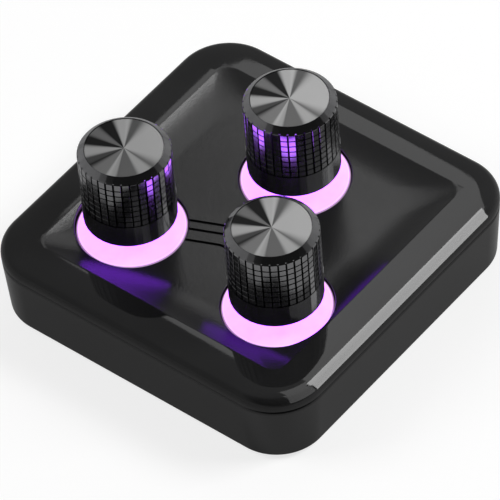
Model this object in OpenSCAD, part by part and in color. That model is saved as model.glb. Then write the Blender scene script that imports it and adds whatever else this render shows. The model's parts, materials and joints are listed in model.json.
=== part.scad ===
// Desktop controller with three push-and-turn knobs, each standing over a lit diffuser ring.
// Z = 0 is the surface it stands on, the origin is under the middle of the body,
// the two front knobs are towards -Y and the socket is in the +Y wall.

/* [Body] */
// Width and depth of the body at its parting line
body_side = 69.5; // [67:0.5:80]
// Plan radius of the body's corners at the parting line
body_corner_r = 10.1; // [8:0.1:12]
// Height from the underside to the crest of the rim
body_h = 15.2; // [15:0.1:17]
// How much further in each wall stands at the underside than at the parting line
draft_inset = 0.85; // [0.3:0.05:1.2]
// Wall thickness of the base shell at the underside
wall_t = 1.6; // [1.2:0.1:2]
// Floor thickness of the base shell
floor_t = 1.8; // [1.6:0.1:2]
// Radius of the base shell's upper edge
base_edge_r = 0.8; // [0.4:0.1:1]
// Radius of the base shell's lower edge
underside_edge_r = 0.6; // [0.3:0.1:1]
// Height of the dark line between the cover and the base shell
parting_gap = 0.2; // [0.1:0.05:0.4]

/* [Cover] */
// Height of the cover from its lower edge to the rim's crest
cover_h = 2.6; // [2.4:0.1:3]
// Width of the rim from the outer edge to its crest, where the dish begins
rim_w = 7.25; // [6.5:0.05:7.5]
// Depth of the dish below the crest
dish_depth = 1.3; // [0.8:0.1:1.6]
// Radius of the dish's slopes where they meet its floor
dish_slope_r = 24; // [16:1:40]
// Outward fall of the rim beside the crest, in degrees
rim_fall = 2; // [0.5:0.5:4]
// Radius of the rim's crown
crown_r = 15; // [8:1:20]
// Fall at which the crown meets the outer edge, in degrees
crown_fall = 12; // [8:1:18]
// Radius of the cover's outer edge
cover_edge_r = 1.8; // [1.2:0.1:2.2]
// Thickness of the cover's plate under the dish
plate_t = 1.8; // [1.5:0.1:2.2]
// Thickness of the rim over the hollow beneath it
rim_t = 2; // [1.8:0.1:2.3]
// Thickness of the lip that drops inside the base shell
lip_t = 1.2; // [0.8:0.1:1.6]
// How far the lip reaches below the parting line
lip_drop = 1.6; // [1:0.1:2.4]
// Width of the three grooves that join the front rings
link_w = 0.6; // [0.4:0.1:1]
// Depth of those grooves
link_depth = 0.4; // [0.2:0.1:0.8]
// Fall of the grooves to either side of the middle, in degrees
link_fall = 23; // [15:1:30]
// Bend radius of the grooves at the middle
link_bend_r = 2.5; // [2:0.5:6]
// Places of the grooves' bends, measured back from the middle of the body
link_y = [-2.8, -5, -7.9]; // [-12:0.1:0]

/* [Knobs] */
// Distance of the front knobs' axes from the body's left and right sides
knob_side_inset = 18.25; // [17.8:0.05:20]
// Distance of the front knobs' axes from the body's front
knob_front_inset = 21.45; // [20.5:0.05:22.5]
// Distance of the rear knob's axis from the body's rear
knob_rear_inset = 21.65; // [20.5:0.05:22.5]
// Diameter of a knob
knob_d = 17; // [16:0.5:18]
// Height of the plain skirt at a knob's foot
skirt_h = 5.2; // [3:0.1:7]
// Width of the small chamfer round a knob's lower edge
knob_foot_edge = 0.3; // [0.1:0.1:0.5]
// Number of knurl columns round a knob
knurl_columns = 36; // [24:2:48]
// Number of knurl rows
knurl_rows = 8; // [5:1:10]
// Height of one knurl row with its groove
knurl_pitch = 1.32; // [1:0.02:1.6]
// Width of the grooves between the knurl columns
column_groove = 0.28; // [0.2:0.02:0.4]
// Width of the grooves between the knurl rows
row_groove = 0.2; // [0.12:0.02:0.4]
// Depth of the knurl
knurl_depth = 0.28; // [0.15:0.01:0.4]
// How far the tile faces lie inside the skirt and the chamfer
knurl_relief = 0.03; // [0.02:0.01:0.06]
// Height of the chamfer round a knob's top
chamfer_h = 1.1; // [0.6:0.1:1.6]
// Radial width of that chamfer
chamfer_w = 1.3; // [0.8:0.1:1.6]
// Thickness of the spun disc let into a knob's top
disc_t = 0.8; // [0.5:0.1:1.2]
// How deep the disc's face lies below the chamfer's inner edge
disc_inset = 0.1; // [0.05:0.05:0.3]
// Width of the small chamfer round the disc
disc_edge = 0.1; // [0.05:0.05:0.2]
// Wall thickness of the metal cap
knob_wall = 1.6; // [1.2:0.1:2]
// Thickness of the metal under the disc
knob_top_t = 1.4; // [1:0.1:2]
// Wall thickness of the insert's hub round the shaft
hub_wall = 1.4; // [1:0.1:1.8]
// Thickness of the insert's sleeve inside the cap
sleeve_t = 1; // [0.8:0.1:1.2]
// Thickness of the insert over the end of the shaft
insert_cap_t = 1; // [0.8:0.1:1.4]
// Thickness of the insert's web between hub and sleeve
insert_web_t = 2.4; // [1.8:0.1:3]
// Number of ribs between the insert's hub and sleeve
insert_ribs = 6; // [4:1:8]
// Thickness of those ribs
rib_t = 0.8; // [0.6:0.1:1]
// How far the ribs start above the insert's foot
rib_rise = 1; // [0.5:0.1:2]
// Height of a knob's foot above its light ring
knob_float = 3.6; // [2.5:0.1:5]
// Travel of a knob when it is pressed
push_travel = 0.5; // [0.3:0.1:0.6]

/* [Light rings] */
// Outer radius of a light ring
ring_r = 10.1; // [9.6:0.1:10.4]
// How deep a ring's face lies below the floor of the dish
ring_inset = 0.2; // [0:0.05:0.4]
// Thickness of the ring's face
ring_t = 1.6; // [1.2:0.1:2]
// Radius of the ring's outer edge
ring_edge_r = 0.5; // [0.2:0.1:0.8]
// Radius of the shallow step round the ring's bore
ring_step_r = 5.5; // [5:0.1:6.5]
// Depth of that step
ring_step = 0.15; // [0.1:0.05:0.3]
// Thickness of the skirt that takes the light up from the board
ring_skirt_t = 1.2; // [0.8:0.1:1.4]
// Reach of the flange under the cover's plate
flange_reach = 1.2; // [0.8:0.1:1.6]
// Thickness of that flange
flange_t = 1.1; // [0.8:0.1:1.4]
// Gap between the skirt and the diodes under it
skirt_gap = 0.3; // [0.2:0.05:0.5]

/* [Encoders] */
// Width and depth of an encoder's base
encoder_side = 12; // [11:0.1:12]
// Gap between an encoder's metal plate and the light ring above it
encoder_gap = 0.5; // [0.3:0.1:0.8]
// Thickness of the encoder's metal plate
encoder_plate_t = 1.2; // [0.8:0.1:1.2]
// Diameter of the encoder's bushing
bushing_d = 7; // [6.8:0.1:7.2]
// Length of the bushing above the plate
bushing_h = 5; // [4.5:0.1:5]
// Diameter of the encoder's shaft
shaft_d = 6; // [5.8:0.1:6.1]
// Length of the shaft above the plate
shaft_len = 15; // [13:0.5:16]
// Length of the flat on the shaft
shaft_flat_len = 7; // [5:0.5:9]
// Depth of the flat on the shaft
shaft_flat = 1.5; // [1:0.1:2]
// Radius of the well inside the encoder's base
well_r = 5; // [4.8:0.1:5.2]
// Thickness of the floor under that well, as a share of the base's height
well_floor = 0.3; // [0.25:0.01:0.32]
// Thickness of the detent wheel on the shaft, as a share of the base's height
wheel_share = 0.22; // [0.15:0.01:0.24]
// Thickness of the plunger under the shaft, as a share of the base's height
plunger_share = 0.15; // [0.12:0.01:0.18]
// Width of the metal plate's legs
leg_w = 4; // [3:0.1:5]
// Thickness of those legs
leg_t = 0.3; // [0.2:0.05:0.4]
// Width of an encoder's pins
pin_w = 0.8; // [0.6:0.1:0.9]
// Thickness of those pins
pin_t = 0.4; // [0.3:0.05:0.5]
// Distance between neighbouring pins
pin_pitch = 2.5; // [2.4:0.1:2.6]
// Distance of the pins from the encoder's axis
pin_reach = 6.9; // [6.8:0.1:7]
// Height above the board at which the pins leave the base
pin_rise = 2.4; // [1.6:0.1:3]
// How far the pins reach below the board
pin_drop = 0.8; // [0.4:0.1:1]

/* [Circuit board] */
// Gap between the circuit board and the base shell's walls
board_gap = 1.8; // [1.5:0.1:2.4]
// Thickness of the circuit board
board_t = 1.6; // [1:0.1:1.8]
// Height of the standoffs under the board
standoff_h = 1.6; // [1.4:0.1:1.8]
// Radius of the standoffs
standoff_r = 2.6; // [2.4:0.1:3]
// Gap between the board's notched corners and the screw towers
notch_gap = 1; // [0.6:0.1:1.4]
// Distance of the front standoff's axis from the board's edge
standoff_front_inset = 4.5; // [4:0.1:5]
// Distance of the side standoffs' axes from the board's edges
standoff_side_inset = 3.5; // [3.2:0.1:4]
// Distance of the side standoffs behind the middle
standoff_side_y = 7; // [5:0.5:9]
// Width of the controller chip
chip_w = 7; // [5:0.5:8]
// Height of the controller chip
chip_h = 1; // [0.8:0.1:1.2]
// Width of a light-emitting diode
led_w = 2; // [1.6:0.1:2]
// Height of a light-emitting diode
led_h = 0.8; // [0.6:0.1:0.9]
// Distance of the diodes from the encoder's axis
led_reach = 9.4; // [9.2:0.1:9.6]
// Number of diodes under each ring
leds_per_ring = 4; // [4:1:5]
// Turn of the first diode round the encoder, in degrees
led_turn = 45; // [40:5:50]
// Length of the smallest parts on the board
part_len = 1.6; // [1:0.1:2]

/* [Socket] */
// Width of the socket's metal shell
socket_w = 8.94; // [8.8:0.02:9.1]
// Height of the socket's metal shell
socket_h = 3.26; // [3.2:0.02:3.4]
// Depth of the socket
socket_len = 7.3; // [6.8:0.1:8]
// Wall thickness of the socket's metal shell
socket_wall = 0.3; // [0.2:0.02:0.4]
// How far the socket's mouth lies inside the rear wall
socket_recess = 0.6; // [0.4:0.1:1]
// Width of the tongue inside the socket
tongue_w = 6.7; // [6.4:0.1:6.8]
// Thickness of that tongue
tongue_t = 0.7; // [0.6:0.05:0.8]
// How far the tongue ends short of the socket's mouth
tongue_inset = 0.8; // [0.5:0.1:1.2]
// Thickness of the moulding that closes the socket's back
socket_back_t = 1; // [0.8:0.1:1.4]

/* [Screws and feet] */
// How far the case screws stand outside the corners' axes, both ways
case_screw_out = 0.85; // [0.4:0.05:1.2]
// Shank radius of a case screw
case_screw_r = 1.2; // [1:0.05:1.3]
// Length of a case screw under its head
case_screw_len = 9; // [8:0.5:9.5]
// Radius of the towers and posts that the case screws join
tower_r = 3.1; // [2.8:0.1:3.3]
// Height of the joint between a tower and its post above the underside
tower_joint_h = 7; // [6:0.1:8]
// Shank radius of a board screw
board_screw_r = 0.9; // [0.7:0.05:1]
// Length of a board screw under its head
board_screw_len = 3.2; // [2.8:0.1:3.4]
// Head radius of the screws, as a multiple of the shank's
head_ratio = 1.85; // [1.6:0.05:1.9]
// Head height of the screws, as a multiple of the shank's radius
head_rise = 1.1; // [0.9:0.05:1.2]
// Width of the cross recess in the screw heads
recess_w = 0.5; // [0.3:0.05:0.6]
// Reach of the recess's arms, as a multiple of the head's radius
recess_reach = 0.7; // [0.5:0.05:0.8]
// Depth of the recess, as a multiple of the head's height
recess_depth = 0.6; // [0.4:0.05:0.7]
// Depth of a screw's hole beyond the screw's end
hole_spare = 0.6; // [0.4:0.1:0.8]
// Radius of a rubber foot
foot_r = 5; // [4.5:0.1:5.5]
// How far the feet stand below the underside
foot_proud = 0.8; // [0.6:0.1:1.4]
// Depth of the recesses that hold the feet
foot_recess = 0.6; // [0.4:0.1:0.7]
// Radius of the feet's lower edge
foot_edge_r = 0.3; // [0.1:0.1:0.5]

/* [Clearances] */
// Gap round a light ring in the cover's hole
ring_gap = 0.15; // [0.1:0.05:0.3]
// Gap between the cover's lip and the base shell
lip_gap = 0.15; // [0.1:0.05:0.3]
// Running gap of the shaft in its bushing
shaft_gap = 0.05; // [0.03:0.01:0.08]
// Running gap of the moving pieces inside the encoder
well_gap = 0.1; // [0.05:0.05:0.15]
// Gap round the bushing in a light ring
bushing_gap = 0.6; // [0.4:0.1:1]
// Gap between fixed pieces that are assembled together
seat_gap = 0.04; // [0.02:0.01:0.05]
// Gap between a screw's shank and its hole in the piece that it clamps
screw_gap = 0.2; // [0.1:0.05:0.3]
// Gap round the socket in the rear wall
socket_gap = 0.25; // [0.15:0.05:0.4]
// Gap round an encoder's pin in its hole in the board
pin_gap = 0.15; // [0.1:0.05:0.2]

/* [Hidden] */
$fn = 64;

eps = 0.01;                                   // overrun of a cut past the face it opens
body_half = body_side / 2;
corner_centre = body_half - body_corner_r;    // where the corners' axes stand
case_screw_xy = corner_centre + case_screw_out;
base_h = body_h - cover_h - parting_gap;      // the base shell above its underside
crest_half = body_half - rim_w;
crest_corner_r = crest_half - corner_centre;  // the crest turns about the same axes
under_z = foot_proud;                         // underside of the base shell
base_top_z = under_z + base_h;
cover_low_z = base_top_z + parting_gap;
crest_z = under_z + body_h;
dish_z = crest_z - dish_depth;
dish_over = dish_depth + 0.4;                 // height of the cut that forms the dish
plate_z = dish_z - plate_t;                   // underside of the cover's plate
floor_z = under_z + floor_t;
inner_half = body_half - draft_inset - wall_t;
inner_corner_r = inner_half - corner_centre;

knob_x = body_half - knob_side_inset;
knob_front_y = body_half - knob_front_inset;
knob_rear_y = body_half - knob_rear_inset;
knob_at = [[-knob_x, -knob_front_y], [knob_x, -knob_front_y], [0, knob_rear_y]];
knob_r = knob_d / 2;
ring_z = dish_z - ring_inset;
knob_z = ring_z + knob_float;
knurl_z = knob_z + skirt_h;
knurl_top_z = knurl_z + knurl_rows * knurl_pitch;
knob_top_z = knurl_top_z + chamfer_h;
disc_r = knob_r - chamfer_w - disc_inset;
disc_z = knob_top_z - disc_inset - disc_t;
cavity_r = knob_r - knob_wall;
cavity_top_z = disc_z - knob_top_t;

board_z = floor_z + standoff_h;
board_top_z = board_z + board_t;
bushing_z = ring_z - ring_t - encoder_gap;     // the encoder fills the height under the ring
encoder_plate_z = bushing_z - encoder_plate_t;
encoder_base_h = encoder_plate_z - board_top_z;
bushing_top_z = bushing_z + bushing_h;
shaft_top_z = bushing_z + shaft_len;
wheel_t = wheel_share * encoder_base_h;
plunger_t = plunger_share * encoder_base_h;
well_z = board_top_z + well_floor * encoder_base_h;
plunger_z = well_z + push_travel + well_gap;
shaft_z = plunger_z + plunger_t + seat_gap;
wheel_z = encoder_plate_z - well_gap - wheel_t;
insert_z = knob_z + push_travel + seat_gap;   // the insert stays above the knob's foot
insert_top_z = shaft_top_z + seat_gap + insert_cap_t;
socket_z = board_top_z + seat_gap + socket_h / 2;
case_seat_z = under_z + foot_recess + case_screw_r * head_rise;
board_seat_z = board_top_z + seat_gap;

link_reach = knob_x;                          // the grooves run into the rings' holes
board_half = inner_half - board_gap;
notch_xy = case_screw_xy - tower_r - notch_gap;
standoff_x = board_half - standoff_side_inset;
standoff_at = [[0, standoff_front_inset - board_half], [-standoff_x, standoff_side_y],
    [standoff_x, standoff_side_y]];
// Three signal pins in front of each encoder and two switch pins behind it, each given by
// its distance from the middle and the half turn that takes it behind
pin_at = [[-pin_pitch, 0], [0, 0], [pin_pitch, 0], [-pin_pitch, 1], [pin_pitch, 1]];
corners = [for (x = [-1, 1], y = [-1, 1]) [x, y]];

// ---- shared shapes

// Points along an arc, from angle a0 to a1, in n steps
function arc(centre, r, a0, a1, n) =
    [for (i = [0:n]) centre + r * [cos(a0 + (a1 - a0) * i / n), sin(a0 + (a1 - a0) * i / n)]];

// Sweeps a section round a square with rounded corners: the section's X is the distance
// outwards from the corners' axes, which stand at +-centre, and its Y is the height
module square_sweep(centre) {
    for (quarter = [0:3]) rotate(90 * quarter) translate([centre, centre, 0]) {
        rotate_extrude(angle = 90) children();
        rotate([90, 0, 0]) linear_extrude(2 * centre) children();
    }
}

// The same sweep with its middle filled from z0 to z1
module square_block(centre, z0, z1) {
    translate([-centre, -centre, z0]) cube([2 * centre, 2 * centre, z1 - z0]);
    square_sweep(centre) children();
}

// A square with rounded corners, centred
module rounded_square(half, r) {
    square([2 * half, 2 * (half - r)], center = true);
    square([2 * (half - r), 2 * half], center = true);
    for (c = corners) translate((half - r) * c) circle(r);
}

// A flat-sided slot shape with round ends, centred
module stadium(w, h) {
    square([w - h, h], center = true);
    for (s = [-1, 1]) translate([s * (w - h) / 2, 0]) circle(h / 2);
}

module at_each_corner() {
    for (c = corners) translate(case_screw_xy * c) children();
}

module at_standoffs() {
    for (p = standoff_at) translate(p) children();
}

// ---- casing

// Half section of the base shell's outside: drafted wall with both edges rounded
module base_section() {
    function wall_at(h) = body_corner_r - draft_inset * (1 - h / base_h);
    low = [wall_at(underside_edge_r) - underside_edge_r, under_z + underside_edge_r];
    high = [wall_at(base_h - base_edge_r) - base_edge_r, base_top_z - base_edge_r];
    polygon(concat([[0, under_z]], arc(low, underside_edge_r, -90, 0, 5),
        arc(high, base_edge_r, 0, 90, 7), [[0, base_top_z]]));
}

module base_shell() color("#2a2a2c") {
    head_r = case_screw_r * head_ratio + screw_gap;
    hole_z = board_seat_z - board_screw_len - hole_spare;
    difference() {
        union() {
            difference() {
                square_block(corner_centre, under_z, base_top_z) base_section();
                translate([0, 0, floor_z]) linear_extrude(base_h)
                    rounded_square(inner_half, inner_corner_r);
            }
            at_each_corner() translate([0, 0, floor_z - eps])
                cylinder(r = tower_r, h = under_z + tower_joint_h - floor_z + eps);
            at_standoffs() translate([0, 0, floor_z - eps])
                cylinder(r = standoff_r, h = standoff_h + eps);
        }
        at_each_corner() {
            translate([0, 0, under_z - eps]) cylinder(r = foot_r + seat_gap, h = foot_recess + eps);
            translate([0, 0, under_z]) cylinder(r = head_r, h = case_seat_z + seat_gap - under_z);
            translate([0, 0, under_z]) cylinder(r = case_screw_r + screw_gap, h = base_h);
        }
        at_standoffs() translate([0, 0, hole_z])
            cylinder(r = board_screw_r + seat_gap, h = board_z - hole_z + eps);
        translate([0, body_half, socket_z]) rotate([90, 0, 0])
            linear_extrude(body_half - inner_half + eps)
                stadium(socket_w + 2 * socket_gap, socket_h + 2 * socket_gap);
    }
}

// Half section of the cover's rim: land, rounded edge, crown and the gentle fall to the crest
module rim_section() {
    crown_end = body_corner_r - cover_edge_r * (1 - sin(crown_fall));
    crown_start = crown_end - crown_r * (sin(crown_fall) - sin(rim_fall));
    start_z = crest_z - (crown_start - crest_corner_r) * tan(rim_fall);
    crown_centre = [crown_start - crown_r * sin(rim_fall), start_z - crown_r * cos(rim_fall)];
    edge_centre = crown_centre + (crown_r - cover_edge_r) * [sin(crown_fall), cos(crown_fall)];
    polygon(concat([[0, cover_low_z], [body_corner_r, cover_low_z]],
        arc(edge_centre, cover_edge_r, 0, 90 - crown_fall, 9),
        arc(crown_centre, crown_r, 90 - crown_fall, 90 - rim_fall, 4),
        [[0, crest_z + crest_corner_r * tan(rim_fall)]]));
}

// Everything above the dish's curved slopes, across one direction: the slopes reach the crest
// at crest_half and run on above it
module dish_trough() {
    run = sqrt(dish_slope_r * dish_slope_r - pow(dish_slope_r - dish_depth, 2));
    flat_half = crest_half - run;
    intersection() {
        union() {
            translate([-flat_half, dish_z]) square([2 * flat_half, dish_slope_r]);
            for (s = [-1, 1]) translate([s * flat_half, dish_z + dish_slope_r])
                circle(dish_slope_r, $fn = 256);
        }
        translate([-body_half, dish_z]) square([body_side, dish_over]);
    }
}

// The dish: two troughs crossed, so their slopes meet in mitred corners, and each corner turned
module dish() {
    over = body_half - corner_centre;
    difference() {
        intersection() {
            rotate([90, 0, 0]) linear_extrude(body_side, center = true) dish_trough();
            rotate([90, 0, 90]) linear_extrude(body_side, center = true) dish_trough();
        }
        for (c = corners) translate((corner_centre + over / 2) * c)
            translate([0, 0, dish_z + dish_over / 2]) cube([over, over, 2 * dish_over], center = true);
    }
    for (quarter = [0:3]) rotate(90 * quarter) translate([corner_centre, corner_centre, 0])
        rotate_extrude(angle = 90) intersection() {
            translate([-corner_centre, 0]) dish_trough();
            translate([0, dish_z]) square([over, dish_over]);
        }
}

// One groove in plan: two straight legs that fall away from a bend at the middle
module link_groove(bend_y) {
    centre = [0, bend_y - link_bend_r];
    leg = link_reach - knob_r / 2;
    function leg_end(r, s) = centre
        + [s * (r * sin(link_fall) + leg * cos(link_fall)), r * cos(link_fall) - leg * sin(link_fall)];
    function side(r, s) = concat([leg_end(r, -s)],
        arc(centre, r, 90 + s * link_fall, 90 - s * link_fall, 6), [leg_end(r, s)]);
    polygon(concat(side(link_bend_r + link_w / 2, 1), side(link_bend_r - link_w / 2, -1)));
}

module top_cover() color("#26262a") {
    lip_half = inner_half - lip_gap;
    lip_r = lip_half - corner_centre;
    post_z = under_z + tower_joint_h + seat_gap;
    difference() {
        union() {
            square_block(corner_centre, cover_low_z, crest_z + crest_corner_r * tan(rim_fall))
                rim_section();
            difference() {
                translate([0, 0, base_top_z - lip_drop]) linear_extrude(lip_drop + 2 * parting_gap)
                    rounded_square(lip_half, lip_r);
                translate([0, 0, base_top_z - lip_drop - eps]) linear_extrude(lip_drop + 2 * parting_gap)
                    rounded_square(lip_half - lip_t, lip_r - lip_t);
            }
            translate([0, 0, plate_z]) linear_extrude(plate_t)
                rounded_square(crest_half, crest_corner_r);
            at_each_corner() translate([0, 0, post_z]) cylinder(r = tower_r, h = dish_z - post_z);
        }
        dish();
        difference() {
            translate([0, 0, cover_low_z - eps])
                linear_extrude(crest_z - rim_t - cover_low_z + eps)
                    rounded_square(lip_half - lip_t, lip_r - lip_t);
            translate([0, 0, plate_z]) linear_extrude(plate_t + dish_depth)
                rounded_square(crest_half, crest_corner_r);
            at_each_corner() cylinder(r = tower_r, h = crest_z);
        }
        for (p = knob_at) translate(p) translate([0, 0, plate_z - eps])
            cylinder(r = ring_r + ring_gap, h = body_h);
        translate([0, 0, dish_z - link_depth]) linear_extrude(dish_depth)
            for (y = link_y) link_groove(y);
        at_each_corner() translate([0, 0, post_z - eps])
            cylinder(r = case_screw_r + seat_gap, h = case_seat_z + case_screw_len + hole_spare - post_z);
    }
}

// ---- light rings

module light_ring(side) color("#f6a8ff") translate(knob_at[side]) {
    face_z = ring_z - ring_t;
    skirt_z = board_top_z + seat_gap + led_h + skirt_gap;
    bore_r = bushing_d / 2 + bushing_gap;
    edge = [ring_r - ring_edge_r, ring_z - ring_edge_r];
    flange_z = plate_z - seat_gap;
    rotate_extrude() polygon(concat(
        [[bore_r, face_z], [ring_r - ring_skirt_t, face_z], [ring_r - ring_skirt_t, skirt_z],
            [ring_r, skirt_z], [ring_r, flange_z - flange_t], [ring_r + flange_reach, flange_z - flange_t],
            [ring_r + flange_reach, flange_z], [ring_r, flange_z]],
        arc(edge, ring_edge_r, 0, 90, 5),
        [[ring_step_r, ring_z], [ring_step_r, ring_z - ring_step], [bore_r, ring_z - ring_step]]));
}

// ---- knobs

// Plan of one knurl row: flat tile faces with straight grooves between them
module knurl_plan() {
    step = 360 / knurl_columns;
    half_tile = step / 2 - asin(column_groove / 2 / knob_r);
    top_r = knob_r - knurl_relief;
    low_r = knob_r - knurl_depth;
    polygon([for (i = [0:knurl_columns - 1], p = [
        [low_r, -half_tile], [top_r, -half_tile], [top_r, half_tile], [low_r, half_tile]])
        p[0] * [cos(i * step + p[1]), sin(i * step + p[1])]]);
}

// Metal cap: plain skirt, knurl rows on a round core and a chamfer that the top row runs out into
module knob(side) color("#3a3a3e") translate(knob_at[side]) {
    core_r = knob_r - knurl_depth - knurl_relief;
    slope = chamfer_h / chamfer_w;
    low_z = knurl_z - row_groove;
    last_z = knurl_top_z - knurl_pitch;
    difference() {
        union() {
            rotate_extrude() polygon([[0, knob_z], [knob_r - knob_foot_edge, knob_z],
                [knob_r, knob_z + knob_foot_edge], [knob_r, low_z], [core_r, low_z],
                [core_r, knurl_top_z + (knob_r - core_r) * slope], [knob_r - chamfer_w, knob_top_z],
                [0, knob_top_z]]);
            for (row = [0:knurl_rows - 2]) translate([0, 0, knurl_z + row * knurl_pitch])
                linear_extrude(knurl_pitch - row_groove) knurl_plan();
            intersection() {
                translate([0, 0, last_z]) linear_extrude(knurl_pitch + chamfer_h) knurl_plan();
                rotate_extrude() polygon([[0, knob_z], [2 * knob_r, knob_z],
                    [2 * knob_r, knurl_top_z - knurl_relief - knob_r * slope],
                    [knob_r - chamfer_w, knob_top_z - knurl_relief], [0, knob_top_z - knurl_relief]]);
            }
        }
        translate([0, 0, knob_z - eps]) cylinder(r = cavity_r, h = cavity_top_z - knob_z + eps);
        translate([0, 0, disc_z]) cylinder(r = disc_r + seat_gap, h = disc_t + disc_inset + eps);
    }
}

module knob_disc(side) color("#8e8e92") translate(knob_at[side])
    translate([0, 0, disc_z + seat_gap]) rotate_extrude()
        polygon([[0, 0], [disc_r, 0], [disc_r, disc_t - disc_edge], [disc_r - disc_edge, disc_t],
            [0, disc_t]]);

// Moulded hub that grips the shaft, with its sleeve pressed into the metal cap
module knob_insert(side) color("#1c1c1e") translate(knob_at[side]) {
    hub_r = shaft_d / 2 + hub_wall;
    sleeve_r = cavity_r - seat_gap;
    insert_h = insert_top_z - insert_z;
    difference() {
        union() {
            translate([0, 0, insert_z]) cylinder(r = hub_r, h = insert_h);
            translate([0, 0, insert_top_z - insert_web_t]) cylinder(r = sleeve_r, h = insert_web_t);
            translate([0, 0, insert_z]) difference() {
                cylinder(r = sleeve_r, h = insert_h);
                translate([0, 0, -eps]) cylinder(r = sleeve_r - sleeve_t, h = insert_h + 2 * eps);
            }
            for (i = [0:insert_ribs - 1]) rotate(i * 360 / insert_ribs)
                translate([hub_r - hub_wall / 2, -rib_t / 2, insert_z + rib_rise])
                    cube([sleeve_r - hub_r + hub_wall / 2 - sleeve_t / 2, rib_t, insert_h - rib_rise]);
        }
        translate([0, 0, insert_z - eps]) shaft_form(seat_gap, shaft_top_z + seat_gap - insert_z + eps);
    }
}

// ---- encoders

// The shaft's round form with its flat, grown by a gap: the flat starts below the shaft's end
module shaft_form(gap, h) {
    r = shaft_d / 2 + gap;
    flat_h = shaft_flat_len + gap;
    difference() {
        cylinder(r = r, h = h);
        translate([r - shaft_flat, -r - eps, h - flat_h])
            cube([shaft_flat + eps, 2 * (r + eps), flat_h + eps]);
    }
}

module encoder_base(side) color("#3c5a46") translate(knob_at[side]) difference() {
    translate([-encoder_side / 2, -encoder_side / 2, board_top_z])
        cube([encoder_side, encoder_side, encoder_base_h]);
    translate([0, 0, well_z]) cylinder(r = well_r, h = encoder_base_h);
}

module encoder_bushing(side) color("#9a9a9e") translate(knob_at[side]) {
    leg_h = encoder_base_h + encoder_plate_t;
    difference() {
        union() {
            translate([-encoder_side / 2, -encoder_side / 2, encoder_plate_z])
                cube([encoder_side, encoder_side, encoder_plate_t]);
            translate([0, 0, bushing_z]) cylinder(d = bushing_d, h = bushing_h);
            for (s = [-1, 1]) translate([s * (encoder_side + leg_t) / 2, 0, board_top_z + leg_h / 2])
                cube([leg_t, leg_w, leg_h], center = true);
        }
        translate([0, 0, encoder_plate_z - eps])
            cylinder(d = shaft_d + 2 * shaft_gap, h = encoder_plate_t + bushing_h + 2 * eps);
    }
}

module encoder_shaft(side) color("#a8a8ac") translate(knob_at[side]) {
    translate([0, 0, shaft_z]) shaft_form(0, shaft_top_z - shaft_z);
    translate([0, 0, wheel_z]) cylinder(r = well_r - well_gap, h = wheel_t);
}

module encoder_plunger(side) color("#d8d4c8") translate(knob_at[side])
    translate([0, 0, plunger_z]) cylinder(r = well_r - well_gap, h = plunger_t);

// One pin, in front of its encoder: it leaves the base, bends down and goes through the board
module encoder_pin() {
    translate([-pin_w / 2, -pin_reach - pin_t / 2, board_z - pin_drop])
        cube([pin_w, pin_t, pin_drop + board_t + pin_rise]);
    translate([-pin_w / 2, -pin_reach, board_top_z + pin_rise - pin_t])
        cube([pin_w, pin_reach - encoder_side / 2 - seat_gap, pin_t]);
}

module encoder_pins() color("#c8b070")
    for (p = knob_at, q = pin_at) translate(p) rotate(180 * q[1]) translate([q[0], 0, 0])
        encoder_pin();

// ---- circuit board

module circuit_board() color("#1f4a3a") difference() {
    translate([0, 0, board_z]) linear_extrude(board_t) difference() {
        square(2 * board_half, center = true);
        for (c = corners) translate((notch_xy + board_half / 2) * c) square(board_half, center = true);
        at_standoffs() circle(board_screw_r + screw_gap);
    }
    for (p = knob_at, q = pin_at) translate(p) rotate(180 * q[1])
        translate([q[0], -pin_reach, board_z - eps])
            cylinder(r = pin_w / 2 + pin_gap, h = board_t + 2 * eps);
}

module controller_chip() color("#1a1a1c")
    translate([-chip_w / 2, -knob_front_y - chip_w / 2, board_top_z + seat_gap])
        cube([chip_w, chip_w, chip_h]);

// Crystal, regulator, memory and the small passives: each has its place as a share of the
// board's half side, and its width, depth and height as multiples of the smallest part's length
module board_parts() color("#b8b0a0") {
    parts = [[0, -0.68, 2, 1.5, 0.5], [-0.21, 0, 1.9, 1, 0.65], [0.21, 0, 2.5, 1.6, 0.55],
        [-0.76, 0.41, 1, 0.5, 0.4], [-0.76, 0.5, 1, 0.5, 0.4], [0.76, 0.41, 1, 0.5, 0.4],
        [0.76, 0.5, 1, 0.5, 0.4], [-0.25, 0.93, 1, 0.5, 0.4], [0.25, 0.93, 1, 0.5, 0.4]];
    for (p = parts) translate([p[0] * board_half, p[1] * board_half, board_seat_z])
        translate(part_len * [-p[2] / 2, -p[3] / 2, 0]) cube(part_len * [p[2], p[3], p[4]]);
}

module ring_leds() color("#f4f0e4")
    for (p = knob_at, i = [0:leds_per_ring - 1]) translate(p) rotate(led_turn + i * 360 / leds_per_ring)
        translate([led_reach, 0, board_top_z + seat_gap + led_h / 2])
            cube([led_w, led_w, led_h], center = true);

// ---- socket

module usb_shell() color("#b4b4b8")
    translate([0, body_half - socket_recess, socket_z]) rotate([90, 0, 0]) {
        linear_extrude(socket_len) difference() {
            stadium(socket_w, socket_h);
            stadium(socket_w - 2 * socket_wall, socket_h - 2 * socket_wall);
        }
        translate([0, 0, socket_len - socket_back_t]) linear_extrude(socket_back_t)
            stadium(socket_w, socket_h);
    }

module usb_tongue() color("#202022")
    translate([0, body_half - socket_recess - tongue_inset, socket_z]) rotate([90, 0, 0])
        translate([-tongue_w / 2, -tongue_t / 2, 0])
            cube([tongue_w, tongue_t, socket_len - tongue_inset - socket_back_t - seat_gap]);

// ---- screws and feet

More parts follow.
